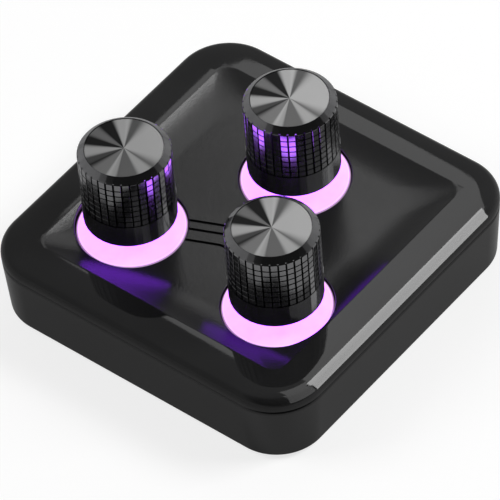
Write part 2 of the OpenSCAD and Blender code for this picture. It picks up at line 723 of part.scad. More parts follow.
// A pan-head screw with a cross recess, its head's seat at z = 0 and its shank towards +Z
module screw(shank_r, len) {
    head_r = shank_r * head_ratio;
    head_h = shank_r * head_rise;
    difference() {
        union() {
            translate([0, 0, -head_h]) cylinder(r = head_r, h = head_h);
            cylinder(r = shank_r, h = len);
        }
        for (a = [0, 90]) rotate(a) translate([0, 0, -head_h])
            cube([2 * head_r * recess_reach, recess_w, 2 * head_h * recess_depth], center = true);
    }
}

module case_screws() color("#8a8a8e")
    at_each_corner() translate([0, 0, case_seat_z]) screw(case_screw_r, case_screw_len);

module board_screws() color("#8a8a8e")
    at_standoffs() translate([0, 0, board_seat_z]) mirror([0, 0, 1])
        screw(board_screw_r, board_screw_len);

module rubber_feet() color("#161618")
    at_each_corner() rotate_extrude() polygon(concat([[0, 0]],
        arc([foot_r - foot_edge_r, foot_edge_r], foot_edge_r, -90, 0, 4),
        [[foot_r, foot_proud + foot_recess - seat_gap], [0, foot_proud + foot_recess - seat_gap]]));

base_shell();
top_cover();
light_ring(0);  // light_ring_left
light_ring(1);  // light_ring_right
light_ring(2);  // light_ring_rear
knob(0);  // knob_left
knob(1);  // knob_right
knob(2);  // knob_rear
knob_disc(0);  // knob_disc_left
knob_disc(1);  // knob_disc_right
knob_disc(2);  // knob_disc_rear
knob_insert(0);  // knob_insert_left
knob_insert(1);  // knob_insert_right
knob_insert(2);  // knob_insert_rear
encoder_base(0);  // encoder_base_left
encoder_base(1);  // encoder_base_right
encoder_base(2);  // encoder_base_rear
encoder_bushing(0);  // encoder_bushing_left
encoder_bushing(1);  // encoder_bushing_right
encoder_bushing(2);  // encoder_bushing_rear
encoder_shaft(0);  // encoder_shaft_left
encoder_shaft(1);  // encoder_shaft_right
encoder_shaft(2);  // encoder_shaft_rear
encoder_plunger(0);  // encoder_plunger_left
encoder_plunger(1);  // encoder_plunger_right
encoder_plunger(2);  // encoder_plunger_rear
encoder_pins();
circuit_board();
controller_chip();
board_parts();
ring_leds();
usb_shell();
usb_tongue();
case_screws();
board_screws();
rubber_feet();
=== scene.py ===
import json
import math

import bmesh
import bpy
from mathutils import Matrix, Vector


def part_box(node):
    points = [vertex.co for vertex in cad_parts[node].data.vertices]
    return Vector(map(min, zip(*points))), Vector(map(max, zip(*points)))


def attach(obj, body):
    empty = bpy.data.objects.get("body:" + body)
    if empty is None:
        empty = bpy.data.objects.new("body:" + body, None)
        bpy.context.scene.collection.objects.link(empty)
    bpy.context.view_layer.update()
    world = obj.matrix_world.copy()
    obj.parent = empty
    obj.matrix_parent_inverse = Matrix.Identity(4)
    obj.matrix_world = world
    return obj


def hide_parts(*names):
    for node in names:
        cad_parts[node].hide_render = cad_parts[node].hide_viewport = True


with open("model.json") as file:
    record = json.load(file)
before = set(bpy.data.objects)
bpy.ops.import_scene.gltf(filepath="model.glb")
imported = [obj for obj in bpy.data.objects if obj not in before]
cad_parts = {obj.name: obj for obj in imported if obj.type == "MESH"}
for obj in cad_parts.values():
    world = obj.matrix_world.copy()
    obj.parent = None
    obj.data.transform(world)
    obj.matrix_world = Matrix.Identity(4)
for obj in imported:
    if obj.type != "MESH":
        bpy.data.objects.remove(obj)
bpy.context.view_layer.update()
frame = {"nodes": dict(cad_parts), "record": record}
mm = 0.001
fullTurn = 2 * math.pi
print("frame loaded:", len(frame["nodes"]), "nodes")

# each knob's own axis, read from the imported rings, and the four case screws
places = {}
for side in ("left", "right", "rear"):
    low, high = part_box("light_ring_" + side)
    places[side] = Vector(((low[0] + high[0]) / 2, (low[1] + high[1]) / 2, 0)) / mm
screwReach = 25.5
screwPlaces = [(x, y) for x in (-screwReach, screwReach) for y in (-screwReach, screwReach)]

# mesh helpers, all sizes in millimetres

mergeDistance = 0.0005  # points nearer than this become one
creaseAngle = 30  # edges bent more than this many degrees stay crisp
turnedSides = 128  # round pieces are turned in this many steps
cutPast = 1.0  # how far a cutter reaches past the face that it opens


def vertsIn(geometry):
    return [g for g in geometry if isinstance(g, bmesh.types.BMVert)]


def edgesIn(geometry):
    return [g for g in geometry if isinstance(g, bmesh.types.BMEdge)]


def roundedLoop(bm, half, height, radius, steps):
    # a square outline with its corners bevelled round, as bare edges
    corners = bmesh.ops.create_grid(bm, x_segments=1, y_segments=1, size=half)["verts"]
    bmesh.ops.translate(bm, verts=corners, vec=(0, 0, height))
    bmesh.ops.bevel(bm, geom=corners, offset=radius, offset_type="OFFSET", segments=steps,
                    profile=0.5, affect="VERTICES", material=-1)
    face = bm.faces[:][0]
    edges = list(face.edges)
    bmesh.ops.delete(bm, geom=[face], context="FACES_ONLY")
    return edges


def squareRun(bm, stations, steps):
    # extrudes a rounded square from station to station, each (half side, height, corner radius),
    # and closes its two ends
    half, height, radius = stations[0]
    edges = roundedLoop(bm, half, height, radius, steps)
    start = list(edges)
    for nextHalf, nextHeight, nextRadius in stations[1:]:
        made = bmesh.ops.extrude_edge_only(bm, edges=edges)["geom"]
        for vert in vertsIn(made):
            signX, signY = math.copysign(1, vert.co.x), math.copysign(1, vert.co.y)
            middle, axis = half - radius, nextHalf - nextRadius
            way = Vector((vert.co.x * signX - middle, vert.co.y * signY - middle)).normalized()
            vert.co = (signX * (axis + way.x * nextRadius), signY * (axis + way.y * nextRadius), nextHeight)
        edges = edgesIn(made)
        half, radius = nextHalf, nextRadius
    for loop in (start, edges):
        bmesh.ops.contextual_create(bm, geom=loop)


def spunProfile(bm, profile, place):
    # a closed outline of (radius, height) turned about the place's own axis
    verts = [bm.verts.new((place.x + r, place.y, z)) for r, z in profile]
    edges = [bm.edges.new((verts[i - 1], verts[i])) for i in range(len(verts))]
    bmesh.ops.spin(bm, geom=verts + edges, cent=place, axis=(0, 0, 1), dvec=(0, 0, 0),
                   angle=fullTurn, steps=turnedSides, use_merge=True)


def arcPoints(centre, radius, start, end, steps):
    # points along an arc, from one angle to another in degrees
    angles = [math.radians(start + (end - start) * i / steps) for i in range(steps + 1)]
    return [(centre[0] + radius * math.cos(a), centre[1] + radius * math.sin(a)) for a in angles]


def markEdges(bm, limit):
    # smooth faces, with a crease kept wherever two faces meet at more than the limit
    for face in bm.faces:
        face.smooth = True
    for edge in bm.edges:
        if len(edge.link_faces) == 2:
            edge.smooth = edge.calc_face_angle(0) < math.radians(limit)


def makePiece(name, bm, limit=creaseAngle):
    bmesh.ops.remove_doubles(bm, verts=bm.verts, dist=mergeDistance)
    bmesh.ops.recalc_face_normals(bm, faces=bm.faces)
    bmesh.ops.scale(bm, vec=(mm, mm, mm), verts=bm.verts)
    markEdges(bm, limit)
    mesh = bpy.data.meshes.new(name)
    bm.to_mesh(mesh)
    bm.free()
    piece = bpy.data.objects.new(name, mesh)
    bpy.context.scene.collection.objects.link(piece)
    return piece


def fitPiece(piece, material, body, node):
    even = piece.modifiers.new("evenNormals", "WEIGHTED_NORMAL")
    even.keep_sharp = True
    piece.data.materials.clear()
    piece.data.materials.append(material)
    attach(piece, body)
    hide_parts(node)


def cut(piece, cutters, operation="DIFFERENCE"):
    # applies each cutter and throws it away
    for cutter in cutters:
        work = piece.modifiers.new("cut", "BOOLEAN")
        work.object = cutter
        work.operation = operation
        work.solver = "MANIFOLD"
        graph = bpy.context.evaluated_depsgraph_get()
        mesh = bpy.data.meshes.new_from_object(piece.evaluated_get(graph))
        piece.modifiers.clear()
        old = piece.data
        piece.data = mesh
        bpy.data.meshes.remove(old)
        bpy.data.objects.remove(cutter)


def rods(spots, radius, low, high, sides):
    # one upright rod at each spot, to cut with or to add
    made = []
    for spot in spots:
        bm = bmesh.new()
        bmesh.ops.create_cone(bm, cap_ends=True, segments=sides, radius1=radius, radius2=radius,
                              depth=high - low)
        bmesh.ops.translate(bm, verts=bm.verts, vec=(spot[0], spot[1], (low + high) / 2))
        made.append(makePiece("rod", bm))
    return made


# material helpers

noiseRange = (0.3, 0.7)  # where most of a noise texture's values lie


def startMaterial(name):
    material = bpy.data.materials.new(name)
    material.use_nodes = True
    tree = material.node_tree
    coords = tree.nodes.new("ShaderNodeTexCoord").outputs["Object"]
    return material, tree, tree.nodes["Principled BSDF"], coords


def noise(tree, coords, scale, detail=3.0, roughness=0.5):
    node = tree.nodes.new("ShaderNodeTexNoise")
    for key, number in (("Scale", scale), ("Detail", detail), ("Roughness", roughness)):
        node.inputs[key].default_value = number
    tree.links.new(coords, node.inputs["Vector"])
    return node.outputs["Fac"]


def mapRange(tree, value, start, end, kind="LINEAR"):
    # takes a value from its start range to its end range
    node = tree.nodes.new("ShaderNodeMapRange")
    node.interpolation_type = kind
    for key, number in zip(("From Min", "From Max", "To Min", "To Max"), (*start, *end)):
        node.inputs[key].default_value = number
    tree.links.new(value, node.inputs["Value"])
    return node.outputs["Result"]


def spread(tree, value, low, high):
    # stretches a noise texture's value to the range that a socket needs
    return mapRange(tree, value, noiseRange, (low, high))


def softStep(tree, value, start, end=(0, 1)):
    return mapRange(tree, value, start, end, "SMOOTHSTEP")


def twoValues(tree, operation, first, second):
    node = tree.nodes.new("ShaderNodeMath")
    node.operation = operation
    for i, value in enumerate((first, second)):
        if isinstance(value, (int, float)):
            node.inputs[i].default_value = value
        else:
            tree.links.new(value, node.inputs[i])
    return node.outputs["Value"]


def vectorWork(tree, operation, vector, other=None):
    node = tree.nodes.new("ShaderNodeVectorMath")
    node.operation = operation
    tree.links.new(vector, node.inputs[0])
    if other:
        node.inputs[1].default_value = other
    return node.outputs["Value" if operation in ("LENGTH", "DOT_PRODUCT") else "Vector"]


def axesOf(tree, vector):
    node = tree.nodes.new("ShaderNodeSeparateXYZ")
    tree.links.new(vector, node.inputs["Vector"])
    return node.outputs


def fromAxis(tree, coords, place):
    # the way out from a knob's own axis: its vector, level and centred, and its length in metres
    mapping = tree.nodes.new("ShaderNodeMapping")
    mapping.inputs["Location"].default_value = tuple(-c * mm for c in place)
    tree.links.new(coords, mapping.inputs["Vector"])
    flat = vectorWork(tree, "MULTIPLY", mapping.outputs["Vector"], (1, 1, 0))
    return flat, vectorWork(tree, "LENGTH", flat)


def mixColour(tree, factor, first, second, blend="MIX"):
    node = tree.nodes.new("ShaderNodeMix")
    node.data_type = "RGBA"
    node.blend_type = blend
    if isinstance(factor, float):
        node.inputs["Factor"].default_value = factor
    else:
        tree.links.new(factor, node.inputs["Factor"])
    for key, colour in (("A", first), ("B", second)):
        socket = next(s for s in node.inputs if s.name == key and s.type == "RGBA")
        if isinstance(colour, tuple):
            socket.default_value = (*colour, 1)
        else:
            tree.links.new(colour, socket)
    return next(s for s in node.outputs if s.type == "RGBA")


def addBump(tree, shader, height, distance):
    node = tree.nodes.new("ShaderNodeBump")
    node.inputs["Distance"].default_value = distance
    tree.links.new(height, node.inputs["Height"])
    tree.links.new(node.outputs["Normal"], shader.inputs["Normal"])


glossBlack = {
    "dark": (0.007, 0.007, 0.0072), "light": (0.010, 0.010, 0.0102),
    "roughness": {"cover": (0.03, 0.06), "base": (0.07, 0.12)},
    "index": {"cover": 1.5, "base": 1.62},
    # noises as scale, detail and roughness, and the bump's height in metres
    "flow": (60, 3), "haze": (900, 4, 0.6), "ripple": (2500, 2), "bump": 0.0000012,
}
dishSatin = {
    # inside the crest the cover is a fine satin: where it ends, what it adds to the roughness, and
    # how many times stronger than the ripple its grain is
    "ends": (26.9, 27.5), "colour": (0.0085, 0.0085, 0.0087), "roughness": 0.15,
    "noise": (3500, 2), "grain": 22.0,
}


def insideSquare(tree, coords, inner, outer):
    # 1 where both x and y lie nearer the middle than the inner distance, and 0 past the outer one
    axes = axesOf(tree, vectorWork(tree, "ABSOLUTE", coords))
    furthest = twoValues(tree, "MAXIMUM", axes["X"], axes["Y"])
    return softStep(tree, furthest, (inner * mm, outer * mm), (1, 0))


def glossMaterial(kind):
    # black moulded plastic: faint flow marks, a little haze and a fine ripple
    s = glossBlack
    material, tree, shader, coords = startMaterial("gloss_" + kind)
    flow = noise(tree, coords, *s["flow"])
    body = mixColour(tree, spread(tree, flow, 0, 1), s["dark"], s["light"])
    haze = spread(tree, noise(tree, coords, *s["haze"]), *s["roughness"][kind])
    ripple = noise(tree, coords, *s["ripple"])
    if kind == "cover":
        satin = dishSatin
        inside = insideSquare(tree, coords, *satin["ends"])
        body = mixColour(tree, inside, body, satin["colour"])
        haze = twoValues(tree, "ADD", haze, twoValues(tree, "MULTIPLY", inside, satin["roughness"]))
        grain = twoValues(tree, "MULTIPLY", noise(tree, coords, *satin["noise"]), satin["grain"])
        ripple = twoValues(tree, "ADD", ripple, twoValues(tree, "MULTIPLY", inside, grain))
    tree.links.new(body, shader.inputs["Base Color"])
    tree.links.new(haze, shader.inputs["Roughness"])
    addBump(tree, shader, ripple, s["bump"])
    shader.inputs["IOR"].default_value = s["index"][kind]
    return material


# cover

coverShape = {
    "outerHalf": 34.75, "axis": 24.65, "crestHalf": 27.5, "crest": 16.0, "low": 13.4,
    "rimFall": 2.0, "crownRadius": 15.0, "crownFall": 12.0, "edgeRadius": 1.8,
    "crownSteps": 10, "edgeSteps": 16, "cornerSteps": 24, "slopeSteps": 16,
    "dishDepth": 1.3, "slopeRadius": 24.0, "floorRadius": 6.0, "plateBottom": 12.9,
    "lipHalf": 32.15, "lipInner": 30.95, "lipLow": 11.6, "rimUnder": 14.0,
    "screwPost": 3.1, "postLow": 7.84, "postInto": 0.3, "postSides": 48,
    "screwHole": 1.24, "screwTop": 12.32, "screwSides": 32,
    "holeRadius": 10.25, "holeEdge": 0.14, "holeEdgeSteps": 3,
}
grooveShape = {
    "places": (-2.8, -5.0, -7.9), "width": 0.6, "depth": 0.4, "fall": 23.0, "bend": 2.5,
    "bendSteps": 8, "reach": 12.0, "cutterTall": 2.0,
}
holeFinder = {
    # the edges to round: how sharp they are, how near the hole's radius and how far below the dish
    "sharp": 50, "near": 0.03, "below": 0.05, "merge": 0.004,
}


def rimOutline():
    # from the land at the parting line up over the edge and the crown to the crest
    s = coverShape
    fall, crown = math.radians(s["rimFall"]), math.radians(s["crownFall"])
    outer = s["outerHalf"] - s["axis"]
    crownEnd = outer - s["edgeRadius"] * (1 - math.sin(crown))
    crownStart = crownEnd - s["crownRadius"] * (math.sin(crown) - math.sin(fall))
    startHeight = s["crest"] - (crownStart - s["crestHalf"] + s["axis"]) * math.tan(fall)
    crownCentre = (crownStart - s["crownRadius"] * math.sin(fall),
                   startHeight - s["crownRadius"] * math.cos(fall))
    reach = s["crownRadius"] - s["edgeRadius"]
    edgeCentre = (crownCentre[0] + reach * math.sin(crown), crownCentre[1] + reach * math.cos(crown))
    turn, end = 90 - s["crownFall"], 90 - s["rimFall"]
    points = [(outer, s["low"])] + arcPoints(edgeCentre, s["edgeRadius"], 0, turn, s["edgeSteps"])
    points += arcPoints(crownCentre, s["crownRadius"], turn, end, s["crownSteps"])[1:]
    return [(s["axis"] + u, z, u) for u, z in points]


def dishOutline():
    # from the crest down the curved slope, the corners opening out towards the floor
    s = coverShape
    run = math.sqrt(s["slopeRadius"] ** 2 - (s["slopeRadius"] - s["dishDepth"]) ** 2)
    crestRadius = s["crestHalf"] - s["axis"]
    stations = []
    for i in range(s["slopeSteps"] + 1):
        share = i / s["slopeSteps"]
        rise = s["slopeRadius"] - math.sqrt(s["slopeRadius"] ** 2 - (run * (1 - share)) ** 2)
        corner = crestRadius + (s["floorRadius"] - crestRadius) * share
        stations.append((s["crestHalf"] - run * share, s["crest"] - s["dishDepth"] + rise, corner))
    return stations


def grooveCutter(place):
    # a bend about the place's own centre, with a straight leg falling away on either side
    s = grooveShape
    bm = bmesh.new()
    fall = math.radians(s["fall"])
    low = coverShape["crest"] - coverShape["dishDepth"] - s["depth"]
    ends = [bm.verts.new((0, place + out, low)) for out in (-s["width"] / 2, s["width"] / 2)]
    edge = bm.edges.new(ends)
    centre = Vector((0, place - s["bend"], 0))
    bmesh.ops.rotate(bm, verts=ends, cent=centre, matrix=Matrix.Rotation(fall, 3, "Z"))
    spun = bmesh.ops.spin(bm, geom=ends + [edge], cent=centre, axis=(0, 0, 1), dvec=(0, 0, 0),
                          angle=-2 * fall, steps=s["bendSteps"])
    for way, edges in ((-1, [edge]), (1, edgesIn(spun["geom_last"]))):
        leg = bmesh.ops.extrude_edge_only(bm, edges=edges)["geom"]
        bmesh.ops.translate(bm, verts=vertsIn(leg),
                            vec=(way * s["reach"] * math.cos(fall), -s["reach"] * math.sin(fall), 0))
    top = bmesh.ops.extrude_face_region(bm, geom=bm.faces[:])["geom"]
    bmesh.ops.translate(bm, verts=vertsIn(top), vec=(0, 0, s["cutterTall"]))
    return makePiece("grooveCutter", bm)


def roundHoleEdges(cover):
    # a small radius where the dish meets each hole's wall
    s = coverShape
    bm = bmesh.new()
    bm.from_mesh(cover.data)
    bmesh.ops.remove_doubles(bm, verts=bm.verts, dist=holeFinder["merge"] * mm)
    rims = []
    for edge in bm.edges:
        middle = (edge.verts[0].co + edge.verts[1].co) / 2 / mm
        if middle.z < s["crest"] - s["dishDepth"] - holeFinder["below"]:
            continue
        if edge.calc_face_angle(0) < math.radians(holeFinder["sharp"]):
            continue
        fromHoles = [abs((middle - place).xy.length - s["holeRadius"]) for place in places.values()]
        if min(fromHoles) < holeFinder["near"]:
            rims.append(edge)
    bmesh.ops.bevel(bm, geom=rims, offset=s["holeEdge"] * mm, offset_type="OFFSET",
                    segments=s["holeEdgeSteps"], profile=0.5, affect="EDGES", material=-1,
                    clamp_overlap=False)
    markEdges(bm, creaseAngle)
    bm.to_mesh(cover.data)
    bm.free()


def buildCover():
    s = coverShape
    bm = bmesh.new()
    underside = [(s["crestHalf"], s["plateBottom"]), (s["crestHalf"], s["rimUnder"]),
                 (s["lipInner"], s["rimUnder"]), (s["lipInner"], s["lipLow"]),
                 (s["lipHalf"], s["lipLow"]), (s["lipHalf"], s["low"])]
    stations = [(half, z, half - s["axis"]) for half, z in underside] + rimOutline() + dishOutline()
    squareRun(bm, stations, s["cornerSteps"])
    cover = makePiece("topCover", bm)
    postHigh, over = s["rimUnder"] + s["postInto"], s["crest"] + 2 * cutPast
    cut(cover, rods(screwPlaces, s["screwPost"], s["postLow"], postHigh, s["postSides"]), "UNION")
    cut(cover, rods(screwPlaces, s["screwHole"], s["postLow"] - cutPast, s["screwTop"], s["screwSides"]))
    cut(cover, rods(places.values(), s["holeRadius"], s["plateBottom"] - cutPast, over, turnedSides))
    cut(cover, [grooveCutter(y) for y in grooveShape["places"]])
    roundHoleEdges(cover)
    return cover


cover = buildCover()
fitPiece(cover, glossMaterial("cover"), "housing", "top_cover")
print("cover done:", len(cover.data.polygons), "faces")

# base shell

baseShape = {
    "axis": 24.65, "outer": 10.1, "low": 0.8, "high": 13.2, "draft": 0.85, "lowEdge": 0.6,
    "highEdge": 0.8, "lowEdgeSteps": 6, "highEdgeSteps": 8, "cornerSteps": 24,
    "innerHalf": 32.3, "floor": 2.6, "intoFloor": 0.5,
    "tower": 3.1, "towerHigh": 7.8, "shankHole": 1.4, "headHole": 2.42, "headHigh": 2.76,
    "footHole": 5.04, "footDeep": 0.6,
    "standoffs": ((0, -26), (-27, 7), (27, 7)), "standoff": 2.6, "standoffHigh": 4.2,
    "standoffHole": 0.94, "standoffHoleLow": 2.04,
    "rodSides": 48, "smallSides": 32, "footSides": 64,
}
socketShape = {
    # the slot through the rear wall, its round ends kept just short of half its height
    "high": 7.47, "wide": 9.44, "tall": 3.76, "short": 0.01, "endSteps": 12, "deep": 4.0, "before": 0.5,
}


def wallAt(height):
    s = baseShape
    return s["outer"] - s["draft"] * (1 - height / (s["high"] - s["low"]))


def socketCutter():
    s = socketShape
    bm = bmesh.new()
    bmesh.ops.create_grid(bm, x_segments=1, y_segments=1, size=0.5)
    bmesh.ops.scale(bm, vec=(s["wide"], s["tall"], 1), verts=bm.verts)
    bmesh.ops.bevel(bm, geom=bm.verts[:], offset=s["tall"] / 2 - s["short"], offset_type="OFFSET",
                    segments=s["endSteps"], profile=0.5, affect="VERTICES", material=-1)
    bmesh.ops.rotate(bm, verts=bm.verts, cent=(0, 0, 0), matrix=Matrix.Rotation(math.pi / 2, 3, "X"))
    bmesh.ops.translate(bm, verts=bm.verts, vec=(0, baseShape["innerHalf"] - s["before"], s["high"]))
    made = bmesh.ops.extrude_face_region(bm, geom=bm.faces[:], use_keep_orig=True)["geom"]
    bmesh.ops.translate(bm, verts=vertsIn(made), vec=(0, s["deep"], 0))
    return makePiece("socketCutter", bm)


def buildBase():
    s = baseShape
    bm = bmesh.new()
    lowCentre = (s["axis"] + wallAt(s["lowEdge"]) - s["lowEdge"], s["low"] + s["lowEdge"])
    highAt = s["high"] - s["low"] - s["highEdge"]
    highCentre = (s["axis"] + wallAt(highAt) - s["highEdge"], s["high"] - s["highEdge"])
    outline = arcPoints(lowCentre, s["lowEdge"], -90, 0, s["lowEdgeSteps"])
    outline += arcPoints(highCentre, s["highEdge"], 0, 90, s["highEdgeSteps"])
    outline += [(s["innerHalf"], s["high"]), (s["innerHalf"], s["floor"])]
    squareRun(bm, [(half, z, half - s["axis"]) for half, z in outline], s["cornerSteps"])
    base = makePiece("baseShell", bm)
    inFloor, under = s["floor"] - s["intoFloor"], s["low"] - cutPast
    cut(base, rods(screwPlaces, s["tower"], inFloor, s["towerHigh"], s["rodSides"])
        + rods(s["standoffs"], s["standoff"], inFloor, s["standoffHigh"], s["rodSides"]), "UNION")
    cut(base, rods(screwPlaces, s["shankHole"], under, s["high"], s["smallSides"]))
    cut(base, rods(screwPlaces, s["headHole"], under, s["headHigh"], s["rodSides"]))
    cut(base, rods(screwPlaces, s["footHole"], under, s["low"] + s["footDeep"], s["footSides"]))
    cut(base, rods(s["standoffs"], s["standoffHole"], s["standoffHoleLow"], s["high"], s["smallSides"]))
    cut(base, [socketCutter()])
    return base


base = buildBase()
fitPiece(base, glossMaterial("base"), "housing", "base_shell")
print("base shell done:", len(base.data.polygons), "faces")

# light rings

ringShape = {
    "outer": 10.1, "face": 14.5, "thick": 1.6, "edge": 0.5, "edgeSteps": 8,
    "stepRadius": 5.5, "step": 0.15, "stepSlope": 0.12, "bore": 4.1, "skirt": 1.2, "skirtLow": 6.94,
    "flange": 11.3, "flangeHigh": 12.86, "flangeLow": 11.76,
}
ringLight = {
    # the glow, its cooler edge, how far it dims there, and the dark gap outside it
    "colour": (0.365, 0.098, 1.0), "rimColour": (0.61, 0.34, 0.55), "strength": 5.2, "rim": 0.13,
    "fade": (9.5, 9.85), "gap": (9.95, 10.05), "uneven": (0.96, 1.04), "cloud": (500, 3),
}
ringPlastic = {
    "dark": (0.22, 0.21, 0.22), "light": (0.27, 0.26, 0.27), "roughness": 0.35,
    "grain": (3000, 2), "bump": 0.000002,
}


def ringMaterial(side):
    # translucent diffuser lit from below, dimmer towards its outer edge
    material, tree, shader, coords = startMaterial("diffuser_" + side)
    radius = fromAxis(tree, coords, places[side])[1]
    cloud = noise(tree, coords, *ringLight["cloud"])
    edge = softStep(tree, radius, (r * mm for r in ringLight["fade"]), (1, ringLight["rim"]))
    gap = softStep(tree, radius, (r * mm for r in ringLight["gap"]), (1, 0))
    glow = twoValues(tree, "MULTIPLY", edge, gap)
    for value in (spread(tree, cloud, *ringLight["uneven"]), ringLight["strength"]):
        glow = twoValues(tree, "MULTIPLY", glow, value)
    tree.links.new(glow, shader.inputs["Emission Strength"])
    colour = mixColour(tree, edge, ringLight["rimColour"], ringLight["colour"])
    tree.links.new(colour, shader.inputs["Emission Color"])
    plastic = mixColour(tree, cloud, ringPlastic["dark"], ringPlastic["light"])
    tree.links.new(plastic, shader.inputs["Base Color"])
    shader.inputs["Roughness"].default_value = ringPlastic["roughness"]
    addBump(tree, shader, noise(tree, coords, *ringPlastic["grain"]), ringPlastic["bump"])
    return material


def buildRing(side):
    s = ringShape
    low, inner = s["face"] - s["thick"], s["outer"] - s["skirt"]
    profile = [(s["bore"], low), (inner, low), (inner, s["skirtLow"]), (s["outer"], s["skirtLow"]),
               (s["outer"], s["flangeLow"]), (s["flange"], s["flangeLow"]),
               (s["flange"], s["flangeHigh"]), (s["outer"], s["flangeHigh"])]
    profile += arcPoints((s["outer"] - s["edge"], s["face"] - s["edge"]), s["edge"], 0, 90, s["edgeSteps"])
    profile += [(s["stepRadius"], s["face"]), (s["stepRadius"] - s["stepSlope"], s["face"] - s["step"]),
                (s["bore"], s["face"] - s["step"])]
    bm = bmesh.new()
    spunProfile(bm, profile, places[side])
    return makePiece("lightRing" + side.capitalize(), bm)


for side in places:
    fitPiece(buildRing(side), ringMaterial(side), "housing", "light_ring_" + side)
print("light rings done")

# knobs

knobShape = {
    "radius": 8.5, "foot": 18.1, "footEdge": 0.3, "knurlLow": 23.3, "rows": 8, "pitch": 1.32,
    "rowGroove": 0.2, "columns": 36, "columnGroove": 0.28, "depth": 0.25, "relief": 0.03,
    "chamferHigh": 1.1, "chamferWide": 1.3, "seatRadius": 7.14, "seatDepth": 0.9,
    "cavityRadius": 6.9, "cavityTop": 32.66, "tileEdge": 0.035, "topEdge": 0.05, "crease": 28,
}
knobMetal = {
    # painted shade: the colour darkens in the knurl's cuts, below the first of these radii and heights
    "dark": (0.35, 0.35, 0.36), "light": (0.41, 0.41, 0.42), "patches": (350, 3),
    "groove": (0.02, 0.02, 0.02), "grooveRadius": (8.3, 8.43), "chamferFrom": (33.84, 33.9),
    "roughness": (0.12, 0.18), "satin": (4000, 4, 0.7), "grain": (7000, 2), "bump": 0.0000008,
}


def knobMaterial(side):
    # black anodised aluminium: a fine satin grain, and painted shade in the cuts between the tiles of the
    # knurl
    s = knobMetal
    material, tree, shader, coords = startMaterial("knob_anodised_" + side)
    face = mixColour(tree, spread(tree, noise(tree, coords, *s["patches"]), 0, 1), s["dark"], s["light"])
    raised = softStep(tree, fromAxis(tree, coords, places[side])[1], (r * mm for r in s["grooveRadius"]))
    outside = softStep(tree, axesOf(tree, coords)["Z"], (z * mm for z in s["chamferFrom"]))
    # painted shade: the colour goes almost black in the cuts below the tiles' faces and below the chamfer
    cutShade = mixColour(tree, twoValues(tree, "MAXIMUM", raised, outside), s["groove"], (1, 1, 1))
    tree.links.new(mixColour(tree, 1.0, face, cutShade, "MULTIPLY"), shader.inputs["Base Color"])
    satin = spread(tree, noise(tree, coords, *s["satin"]), *s["roughness"])
    tree.links.new(satin, shader.inputs["Roughness"])
    addBump(tree, shader, noise(tree, coords, *s["grain"]), s["bump"])
    shader.inputs["Metallic"].default_value = 1.0
    return material


def turnLoop(verts, radius, height, place):
    # moves a ring of vertices out or in along their own directions, to one height
    for vert in verts:
        way = Vector((vert.co.x - place.x, vert.co.y - place.y, 0)).normalized()
        vert.co = Vector((place.x, place.y, height)) + way * radius


def nextLoop(bm, edges, radius, height, place):
    made = bmesh.ops.extrude_edge_only(bm, edges=edges)["geom"]
    turnLoop(vertsIn(made), radius, height, place)
    return edgesIn(made)


def knurlRing(bm, place):
    # a ring of vertices in pairs, each pair closing in on a groove between two columns
    s = knobShape
    verts = bmesh.ops.create_circle(bm, cap_ends=False, segments=2 * s["columns"], radius=1)["verts"]
    bmesh.ops.translate(bm, verts=verts, vec=place)
    step = math.radians(180 / s["columns"])
    gap = math.asin(s["columnGroove"] / 2 / s["radius"])
    for vert in verts:
        index = round(math.atan2(vert.co.y - place.y, vert.co.x - place.x) / step)
        column = math.floor(index / 2) * 2 * step
        angle = column + (step - gap if index % 2 else -step + gap)
        vert.co = place + Vector((math.cos(angle), math.sin(angle), 0))
    turnLoop(verts, s["cavityRadius"], s["foot"], place)
    return bm.edges[:]


def raiseTiles(bm, tiles, place, top, coreTop):
    # each tile stands out of the core, and the top row runs out into the chamfer
    s = knobShape
    raised = bmesh.ops.extrude_discrete_faces(bm, faces=tiles)["faces"]
    for face in raised:
        way = face.calc_center_median() - place
        way.z = 0
        way.normalize()
        for vert in face.verts:
            vert.co += way * s["depth"]
            if abs(vert.co.z - coreTop) < mergeDistance:
                vert.co.z = top
    edges = {e for f in raised for e in f.edges}
    bmesh.ops.bevel(bm, geom=list(edges), offset=s["tileEdge"], offset_type="OFFSET", segments=1,
                    profile=0.5, affect="EDGES", material=-1)


def buildKnob(side):
    s = knobShape
    place = places[side]
    top = s["knurlLow"] + s["rows"] * s["pitch"]
    end = top + s["chamferHigh"]
    coreRadius = s["radius"] - s["relief"] - s["depth"]
    slope = s["chamferHigh"] / s["chamferWide"]
    coreTop = top + (s["radius"] - coreRadius) * slope
    rim = s["radius"] - s["chamferWide"]
    skirtTop = s["knurlLow"] - s["rowGroove"]
    bm = bmesh.new()
    first = loop = knurlRing(bm, place)
    for radius, height in ((s["radius"] - s["footEdge"], s["foot"]),
                           (s["radius"], s["foot"] + s["footEdge"]),
                           (s["radius"], skirtTop), (coreRadius, skirtTop)):
        loop = nextLoop(bm, loop, radius, height, place)
    tiles = []
    for row in range(s["rows"]):
        low = s["knurlLow"] + row * s["pitch"]
        high = low + s["pitch"] - s["rowGroove"] if row < s["rows"] - 1 else coreTop
        loop = nextLoop(bm, loop, coreRadius, low, place)
        loop = nextLoop(bm, loop, coreRadius, high, place)
        wide = [edge for edge in loop if edge.calc_length() > 2 * s["columnGroove"]]
        tiles += [face for edge in wide for face in edge.link_faces]
    for radius, height in ((rim + s["topEdge"], end - s["topEdge"] * slope), (rim - s["topEdge"], end),
                           (s["seatRadius"], end), (s["seatRadius"], end - s["seatDepth"])):
        loop = nextLoop(bm, loop, radius, height, place)
    bmesh.ops.contextual_create(bm, geom=loop)
    bmesh.ops.contextual_create(bm, geom=nextLoop(bm, first, s["cavityRadius"], s["cavityTop"], place))
    raiseTiles(bm, tiles, place, top, coreTop)
    return makePiece("knob" + side.capitalize(), bm, s["crease"])


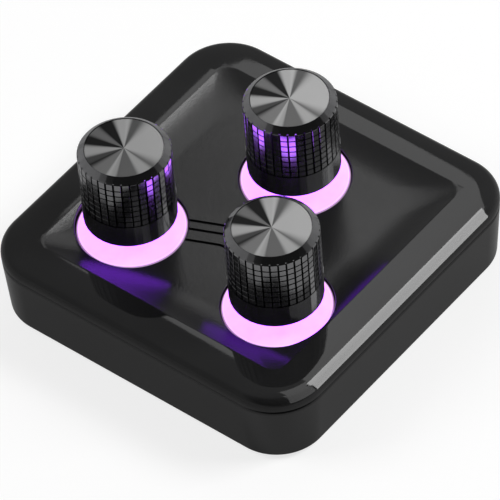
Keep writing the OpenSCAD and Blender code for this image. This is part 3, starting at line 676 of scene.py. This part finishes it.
discShape = {"radius": 7.1, "low": 34.1, "face": 34.86, "edge": 0.1, "dip": 0.06, "crease": 20}
discMetal = {
    "base": (0.024, 0.024, 0.0245), "paintedFlare": (1.0, 1.0, 1.0), "roughness": (0.3, 0.4),
    "marksScale": 14000, "bump": 0.000002,
}
paintedDiscFlares = (  # painted highlights in the base colour: direction, half the width at full strength and at none, in degrees, and the gain
    (50, 32, 56, 0.58), (107, 8, 22, 0.13), (131, 6, 17, 0.54), (179, 3, 14, 0.20), (222, 4, 16, 0.50),
    (240, 4, 12, 0.07), (272, 8, 22, 0.24), (290, 3, 10, 0.36), (330, 25, 46, 0.17), (341, 4, 15, 0.33),
)


def discMaterial(side):
    # spun aluminium: turning marks, and painted highlights in the base colour for the flares that light
    # gives a facing cut, so they turn with the knob
    s = discMetal
    material, tree, shader, coords = startMaterial("spun_disc_" + side)
    flat, radius = fromAxis(tree, coords, places[side])
    way = vectorWork(tree, "NORMALIZE", flat)
    total = 0.0
    for direction, full, none, gain in paintedDiscFlares:
        direction, full, none = (math.radians(a) for a in (direction, full, none))
        along = vectorWork(tree, "DOT_PRODUCT", way, (math.cos(direction), math.sin(direction), 0))
        paintedFlare = softStep(tree, along, (math.cos(none), math.cos(full)), (0, gain))
        total = twoValues(tree, "ADD", total, paintedFlare)
    # painted highlights: white mixed into the dark base colour by direction about the knob's axis
    tree.links.new(mixColour(tree, total, s["base"], s["paintedFlare"]), shader.inputs["Base Color"])
    marks = tree.nodes.new("ShaderNodeTexNoise")
    marks.noise_dimensions = "1D"
    marks.inputs["Scale"].default_value = s["marksScale"]
    tree.links.new(radius, marks.inputs["W"])
    tree.links.new(spread(tree, marks.outputs["Fac"], *s["roughness"]), shader.inputs["Roughness"])
    addBump(tree, shader, marks.outputs["Fac"], s["bump"])
    shader.inputs["Metallic"].default_value = 1.0
    return material


def buildDisc(side):
    s = discShape
    bm = bmesh.new()
    spunProfile(bm, [(0, s["low"]), (s["radius"], s["low"]), (s["radius"], s["face"] - s["edge"]),
                     (s["radius"] - s["edge"], s["face"]), (0, s["face"] - s["dip"])], places[side])
    return makePiece("knobDisc" + side.capitalize(), bm, s["crease"])


for side in places:
    body = "dial_" + side
    fitPiece(buildKnob(side), knobMaterial(side), body, "knob_" + side)
    fitPiece(buildDisc(side), discMaterial(side), body, "knob_disc_" + side)
print("knobs done")

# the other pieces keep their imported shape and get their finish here

plainFinishes = {
    # slot: dark colour, light colour, lowest and highest roughness, metallic, texture scale, bump in metres
    "insert_plastic": ((0.02, 0.02, 0.021), (0.035, 0.035, 0.036), (0.4, 0.55), 0, 900, 0.000004),
    "encoder_moulding": ((0.03, 0.07, 0.05), (0.05, 0.1, 0.08), (0.4, 0.55), 0, 800, 0.000004),
    "plated_metal": ((0.42, 0.42, 0.43), (0.58, 0.58, 0.6), (0.22, 0.38), 1, 1500, 0.000003),
    "plunger_plastic": ((0.6, 0.58, 0.5), (0.74, 0.72, 0.64), (0.4, 0.5), 0, 700, 0.000003),
    "contact_metal": ((0.6, 0.52, 0.34), (0.75, 0.66, 0.45), (0.25, 0.4), 1, 1800, 0.000003),
    "board_laminate": ((0.012, 0.07, 0.045), (0.02, 0.1, 0.065), (0.25, 0.4), 0, 700, 0.000004),
    "chip_moulding": ((0.015, 0.015, 0.015), (0.03, 0.03, 0.03), (0.45, 0.6), 0, 1600, 0.000004),
    "component_ceramic": ((0.38, 0.33, 0.27), (0.6, 0.56, 0.5), (0.35, 0.5), 0, 1200, 0.000003),
    "led_package": ((0.8, 0.78, 0.7), (0.92, 0.9, 0.83), (0.3, 0.4), 0, 900, 0.000002),
    "socket_metal": ((0.46, 0.46, 0.48), (0.62, 0.62, 0.64), (0.2, 0.34), 1, 1600, 0.000003),
    "screw_steel": ((0.28, 0.28, 0.29), (0.42, 0.42, 0.44), (0.25, 0.4), 1, 1600, 0.000003),
    "foot_rubber": ((0.012, 0.012, 0.012), (0.03, 0.03, 0.03), (0.6, 0.8), 0, 1400, 0.00001),
}
patchScale, bumpScale = 0.3, 2  # colour patches and bumps, against each finish's own texture scale


def plainMaterial(slot):
    dark, light, roughness, metallic, scale, bump = plainFinishes[slot]
    material, tree, shader, coords = startMaterial(slot)
    patches = spread(tree, noise(tree, coords, scale * patchScale), 0, 1)
    tree.links.new(mixColour(tree, patches, dark, light), shader.inputs["Base Color"])
    tree.links.new(spread(tree, noise(tree, coords, scale, 4), *roughness), shader.inputs["Roughness"])
    addBump(tree, shader, noise(tree, coords, scale * bumpScale, 3), bump)
    shader.inputs["Metallic"].default_value = metallic
    return material


finishes = {slot: plainMaterial(slot) for slot in plainFinishes}
for part in frame["record"]["subparts"]:
    node = frame["nodes"][part["node"]]
    if part["material_slot"] in finishes:
        node.data.materials.clear()
        node.data.materials.append(finishes[part["material_slot"]])
print("finishes done")

# camera, floor and light

cameraShape = {
    "azimuth": -48.5574, "elevation": 47.3216, "roll": -4.6533, "distance": 1077.5,
    "aim": (-4.0, 3.78, 0.8), "lens": 428.96, "sensor": 36.0, "clip": (0.05, 20),
}


def placeCamera():
    s = cameraShape
    az, el, roll = (math.radians(s[key]) for key in ("azimuth", "elevation", "roll"))
    back = Vector((math.cos(az) * math.cos(el), math.sin(az) * math.cos(el), math.sin(el)))
    right = Vector((-math.sin(az), math.cos(az), 0))
    up = back.cross(right)
    turnedRight = math.cos(roll) * right + math.sin(roll) * up
    turnedUp = math.cos(roll) * up - math.sin(roll) * right
    data = bpy.data.cameras.new("camera")
    data.lens = s["lens"]
    data.sensor_width = s["sensor"]
    data.sensor_fit = "HORIZONTAL"
    data.clip_start, data.clip_end = s["clip"]
    camera = bpy.data.objects.new("camera", data)
    bpy.context.scene.collection.objects.link(camera)
    where = (Vector(s["aim"]) + back * s["distance"]) * mm
    turn = Matrix((turnedRight, turnedUp, back)).transposed().to_4x4()
    camera.matrix_world = Matrix.Translation(where) @ turn
    bpy.context.scene.camera = camera


floorShape = {
    # the lift is light of the floor's own, for each kind of ray that sees it
    "half": 3000, "colour": (0.36, 0.36, 0.36, 1), "roughness": 0.9,
    "lift": {"Is Camera Ray": 0.75, "Is Glossy Ray": 0.1, "Is Transmission Ray": 0.75},
}


def floorMaterial():
    material, tree, shader, coords = startMaterial("studio_floor")
    shader.inputs["Base Color"].default_value = floorShape["colour"]
    shader.inputs["Roughness"].default_value = floorShape["roughness"]
    shader.inputs["Specular IOR Level"].default_value = 0.0
    path = tree.nodes.new("ShaderNodeLightPath")
    lift = 0.0
    for ray, amount in floorShape["lift"].items():
        lift = twoValues(tree, "ADD", lift, twoValues(tree, "MULTIPLY", path.outputs[ray], amount))
    shader.inputs["Emission Color"].default_value = (1, 1, 1, 1)
    tree.links.new(lift, shader.inputs["Emission Strength"])
    # clear from underneath, so that the feet and the base can be looked at
    clear = tree.nodes.new("ShaderNodeBsdfTransparent")
    both = tree.nodes.new("ShaderNodeMixShader")
    tree.links.new(tree.nodes.new("ShaderNodeNewGeometry").outputs["Backfacing"], both.inputs["Fac"])
    tree.links.new(shader.outputs["BSDF"], both.inputs[1])
    tree.links.new(clear.outputs["BSDF"], both.inputs[2])
    tree.links.new(both.outputs["Shader"], tree.nodes["Material Output"].inputs["Surface"])
    return material


def buildFloor():
    bm = bmesh.new()
    bmesh.ops.create_grid(bm, x_segments=1, y_segments=1, size=floorShape["half"])
    floor = makePiece("studioFloor", bm)
    floor.data.materials.append(floorMaterial())


studio = {
    # the room's brightness, what it rises or falls to near the horizon, and its dark open side
    "base": 0.30, "horizon": 0.42, "horizonSpan": (0.15, 0.45),
    "openSide": (0.55, -0.3, 0.78), "openLight": 0.02, "openWide": (0.4, 0.8),
}


def buildStudio():
    # a white backdrop, and for reflections an even grey room that is darker towards its open side
    world = bpy.data.worlds.new("studio")
    bpy.context.scene.world = world
    world.use_nodes = True
    tree = world.node_tree
    tree.nodes.clear()
    coords = tree.nodes.new("ShaderNodeTexCoord").outputs["Generated"]
    facing = vectorWork(tree, "DOT_PRODUCT", coords, studio["openSide"])
    horizon = softStep(tree, axesOf(tree, coords)["Z"], studio["horizonSpan"],
                       (studio["horizon"], studio["base"]))
    opened = softStep(tree, facing, studio["openWide"], (0, studio["openLight"] - studio["base"]))
    seen = tree.nodes.new("ShaderNodeLightPath").outputs["Is Camera Ray"]
    background = tree.nodes.new("ShaderNodeBackground")
    tree.links.new(twoValues(tree, "MAXIMUM", twoValues(tree, "ADD", horizon, opened), seen),
                   background.inputs["Strength"])
    output = tree.nodes.new("ShaderNodeOutputWorld")
    tree.links.new(background.outputs["Background"], output.inputs["Surface"])


lamps = {
    # soft lamps that no gloss mirrors
    "key": {"place": (500, 450, 700), "size": 350, "power": 4.5},
    "fill": {"place": (-600, -500, 700), "size": 500, "power": 3.0},
}
ringGlow = {
    # the rings' light as the near slopes of the dish mirror it: place, way out in degrees, share
    "lamps": ((-11.6, -20.8, -76, 0.85), (15.4, -21.4, -88, 0.45), (24.6, -1.5, 0, 0.3)),
    "height": 17.3, "tilt": 24, "wide": 17, "tall": 1.5, "power": 0.00037, "colour": (0.27, 0.03, 1.0),
}
panelPower = math.pi  # watts for each square metre at a brightness of 1
panels = {
    # soft boxes that the gloss mirrors, each from one end to the other, in millimetres
    "soft": {"ends": ((-205, 218, 289), (-22, 210, 351)), "width": 94, "light": 1.17},
}
strips = {
    # bent rows of boxes that only the cover mirrors, round a point on the right rim: low and high are
    # the row's two edges at its start and at its end
    "strip": {"from": -0.169, "to": 0.855, "low": (160, 150), "high": (246, 246),
              "boxes": 6, "light": 7.2},
    "stripLow": {"from": -0.26, "to": 0.95, "low": (110, -215), "high": (168, 150),
                 "boxes": 10, "light": 1.2},
}
stripMiddle = (34, 0, 15)
stripReach = 400


def addLamp(name, wide, tall, power):
    data = bpy.data.lights.new(name, "AREA")
    data.shape = "RECTANGLE"
    data.size, data.size_y, data.energy = wide * mm, tall * mm, power
    lamp = bpy.data.objects.new(name, data)
    bpy.context.scene.collection.objects.link(lamp)
    return lamp


def onlyLightsCover(lamp):
    lit = bpy.data.collections.new(lamp.name + "Lit")
    lit.objects.link(cover)
    lamp.light_linking.receiver_collection = lit


def placeLamps():
    for name, s in lamps.items():
        lamp = addLamp(name, s["size"], s["size"], s["power"])
        lamp.location = Vector(s["place"]) * mm
        lamp.rotation_euler = lamp.location.to_track_quat("Z", "Y").to_euler()
        lamp.visible_glossy = False


def placeGlow():
    s = ringGlow
    for x, y, turn, share in s["lamps"]:
        lamp = addLamp("glow", s["wide"], s["tall"], s["power"] * share)
        lamp.data.shape = "ELLIPSE"
        lamp.data.color = s["colour"]
        lamp.location = Vector((x, y, s["height"])) * mm
        turn = math.radians(turn)
        back = Vector((-math.cos(turn), -math.sin(turn), math.tan(math.radians(s["tilt"]))))
        lamp.rotation_euler = back.to_track_quat("Z", "Y").to_euler()
        lamp.visible_camera = False
        onlyLightsCover(lamp)


def placePanel(name, start, end, width, light):
    # a box from start to end that faces the middle of the object
    along = (end - start).normalized()
    away = (start + end) / 2
    away = (away - along * away.dot(along)).normalized()
    length = (end - start).length
    lamp = addLamp(name, length, width, light * panelPower * length * width * mm * mm)
    turn = Matrix((along, away.cross(along), away)).transposed().to_4x4()
    lamp.matrix_world = Matrix.Translation((start + end) / 2 * mm) @ turn
    return lamp


def placeStrip(name, s):
    points, widths = [], []
    for i in range(s["boxes"] + 1):
        share = i / s["boxes"]
        x = s["from"] + (s["to"] - s["from"]) * share
        low, high = (a + (b - a) * share for a, b in (s["low"], s["high"]))
        y = (low + high) / 2 / stripReach
        points.append(Vector(stripMiddle) + Vector((x, y, math.sqrt(1 - x * x - y * y))) * stripReach)
        widths.append(high - low)
    for i in range(s["boxes"]):
        width = (widths[i] + widths[i + 1]) / 2
        onlyLightsCover(placePanel(name, points[i], points[i + 1], width, s["light"]))


placeCamera()
buildFloor()
buildStudio()
placeLamps()
placeGlow()
for name, s in panels.items():
    placePanel(name, *(Vector(p) for p in s["ends"]), s["width"], s["light"])
for name, s in strips.items():
    placeStrip(name, s)
bpy.context.scene.view_settings.view_transform = "Standard"
print("studio done")
